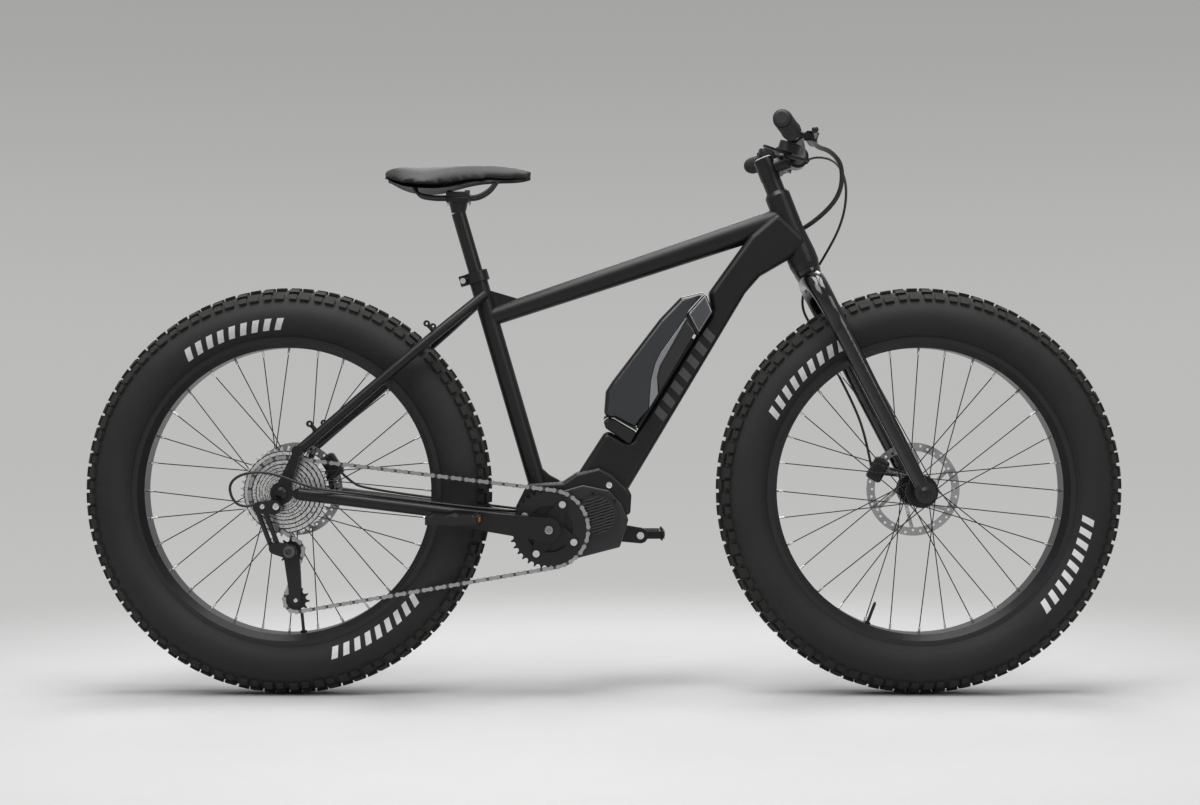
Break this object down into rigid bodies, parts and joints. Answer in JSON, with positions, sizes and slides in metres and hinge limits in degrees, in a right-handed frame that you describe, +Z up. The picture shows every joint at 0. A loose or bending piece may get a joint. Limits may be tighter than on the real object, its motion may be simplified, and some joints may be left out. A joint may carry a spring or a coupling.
{
  "type": "fat tire bike",
  "caption": "Fat-tyre bicycle with a mid-drive motor, a battery on the down tube, disc brakes, a rigid fork and a chain drive with a rear derailleur.",
  "frame": {"origin": "on the ground, midway between the two axles, in the middle plane", "axes": "+X forward, +Y to the rider's left, +Z up"},
  "size_m": [1.9648, 0.7342, 1.0611],
  "materials": {
    "frame_paint": "satin",
    "fork_paint": "gloss",
    "black_alloy": "satin",
    "tyre": "matte",
    "steel": "satin",
    "dark_steel": "satin",
    "black_plastic": "matte",
    "motor_case": "satin",
    "lever_alloy": "satin",
    "rubber": "matte",
    "saddle_cover": "satin"
  },
  "bodies": {
    "frame": {"head_tube": "frame_paint", "headset_cups": "black_alloy", "motor_cradle": "frame_paint", "seat_tube": "frame_paint", "top_tube": "frame_paint", "down_tube": "frame_paint", "seatstays": "frame_paint", "chainstays": "frame_paint", "seat_clamp": "black_alloy", "drive_unit": "motor_case", "drive_unit_cover": "black_plastic", "battery_holder": "black_plastic", "rear_caliper": "dark_steel", "rear_axle": "black_alloy", "derailleur_body": "dark_steel", "chain": "steel", "control_cables": "rubber", "rear_cables": "rubber"},
    "steering": {"fork": "fork_paint", "stem": "black_alloy", "headset_spacers": "black_alloy", "handlebar": "black_alloy", "grips": "rubber", "brake_lever_mounts": "dark_steel", "shifter_body": "black_plastic", "assist_switch": "black_plastic", "display": "black_plastic", "front_caliper": "dark_steel", "front_axle": "black_alloy", "front_brake_hose": "rubber"},
    "front_wheel": {"front_tyre": "tyre", "front_rim": "black_alloy", "front_spokes": "steel", "front_hub": "black_alloy", "front_brake_disc": "steel"},
    "rear_wheel": {"rear_tyre": "tyre", "rear_rim": "black_alloy", "rear_spokes": "steel", "rear_hub": "black_alloy", "rear_brake_disc": "steel"},
    "cassette": {"cassette": "steel"},
    "cranks": {"crankset": "black_alloy", "chainring": "dark_steel", "pedal_axles": "steel"},
    "pedal_right": {"pedal_right": "black_plastic"},
    "pedal_left": {"pedal_left": "black_plastic"},
    "derailleur_cage": {"derailleur_cage": "dark_steel"},
    "guide_pulley": {"guide_pulley": "black_plastic"},
    "tension_pulley": {"tension_pulley": "black_plastic"},
    "battery": {"battery_case": "black_plastic"},
    "seat": {"seatpost": "black_alloy", "saddle_clamp": "dark_steel", "saddle_rails": "steel", "saddle_shell": "black_plastic", "saddle_pad": "saddle_cover"},
    "brake_lever_right": {"brake_lever_right": "lever_alloy"},
    "brake_lever_left": {"brake_lever_left": "lever_alloy"},
    "shift_thumb_lever": {"shift_thumb_lever": "black_plastic"},
    "shift_release_lever": {"shift_release_lever": "black_plastic"},
    "assist_rocker": {"assist_rocker": "black_plastic"}
  },
  "joints": [
    {"name": "steering_turn", "type": "hinge", "parent": "frame", "child": "steering", "pos_m": [0.55703, 0, 0.36906], "axis": [-0.3665, 0, 0.9304], "range_deg": [-55, 55], "deforming": ["control_cables"]},
    {"name": "front_wheel_spin", "type": "hinge", "parent": "steering", "child": "front_wheel", "pos_m": [0.5975, 0, 0.385], "axis": [0, 1, 0], "continuous": true},
    {"name": "rear_wheel_spin", "type": "hinge", "parent": "frame", "child": "rear_wheel", "pos_m": [-0.5975, 0, 0.385], "axis": [0, 1, 0], "continuous": true},
    {"name": "crank_spin", "type": "hinge", "parent": "frame", "child": "cranks", "pos_m": [-0.10228, 0, 0.316], "axis": [0, 1, 0], "continuous": true, "deforming": ["chain"]},
    {"name": "pedal_right_spin", "type": "hinge", "parent": "cranks", "child": "pedal_right", "pos_m": [-0.27579, -0.15, 0.33884], "axis": [0, 1, 0], "continuous": true},
    {"name": "pedal_left_spin", "type": "hinge", "parent": "cranks", "child": "pedal_left", "pos_m": [0.07122, 0.15, 0.29316], "axis": [0, 1, 0], "continuous": true},
    {"name": "cassette_spin", "type": "hinge", "parent": "frame", "child": "cassette", "pos_m": [-0.5975, 0, 0.385], "axis": [0, 1, 0], "continuous": true},
    {"name": "cage_swing", "type": "hinge", "parent": "frame", "child": "derailleur_cage", "pos_m": [-0.5845, -0.068, 0.275], "axis": [0, -1, 0], "range_deg": [0, 35], "stiffness_Nm_per_rad": 0.8, "springref_deg": -34.38, "deforming": ["chain"]},
    {"name": "guide_pulley_spin", "type": "hinge", "parent": "derailleur_cage", "child": "guide_pulley", "pos_m": [-0.5845, -0.068, 0.275], "axis": [0, 1, 0], "continuous": true},
    {"name": "tension_pulley_spin", "type": "hinge", "parent": "derailleur_cage", "child": "tension_pulley", "pos_m": [-0.57549, -0.068, 0.18344], "axis": [0, 1, 0], "continuous": true},
    {"name": "battery_lift", "type": "slide", "parent": "frame", "child": "battery", "axis": [-0.7196, 0, 0.6944], "range_m": [0, 0.045]},
    {"name": "seatpost_slide", "type": "slide", "parent": "frame", "child": "seat", "axis": [-0.2807, 0, 0.9598], "range_m": [-0.1, 0.05]},
    {"name": "brake_lever_right_pull", "type": "hinge", "parent": "steering", "child": "brake_lever_right", "pos_m": [0.37441, -0.24452, 1.02601], "axis": [-0.3019, 0.0281, -0.9529], "range_deg": [0, 14], "stiffness_Nm_per_rad": 0.8, "springref_deg": -17.19},
    {"name": "brake_lever_left_pull", "type": "hinge", "parent": "steering", "child": "brake_lever_left", "pos_m": [0.37441, 0.24452, 1.02601], "axis": [0.3019, 0.0281, 0.9529], "range_deg": [0, 14], "stiffness_Nm_per_rad": 0.8, "springref_deg": -17.19},
    {"name": "shift_thumb_push", "type": "hinge", "parent": "steering", "child": "shift_thumb_lever", "pos_m": [0.34292, -0.1921, 1.03753], "axis": [-0.3019, 0.0281, -0.9529], "range_deg": [0, 22], "stiffness_Nm_per_rad": 0.3, "springref_deg": -17.19},
    {"name": "shift_release_pull", "type": "hinge", "parent": "steering", "child": "shift_release_lever", "pos_m": [0.34292, -0.1921, 1.03753], "axis": [-0.3019, 0.0281, -0.9529], "range_deg": [0, 15], "stiffness_Nm_per_rad": 0.3, "springref_deg": -17.19},
    {"name": "assist_rocker_tilt", "type": "hinge", "parent": "steering", "child": "assist_rocker", "pos_m": [0.31217, 0.18498, 1.04748], "axis": [-0.2135, 0.9762, 0.0389], "range_deg": [-6, 6], "stiffness_Nm_per_rad": 0.3}
  ],
  "couplings": [
    {"joint": "cassette_spin", "follows": "crank_spin", "ratio": 1.125},
    {"joint": "guide_pulley_spin", "follows": "crank_spin", "ratio": -3.2727},
    {"joint": "tension_pulley_spin", "follows": "crank_spin", "ratio": 3.2727}
  ]
}
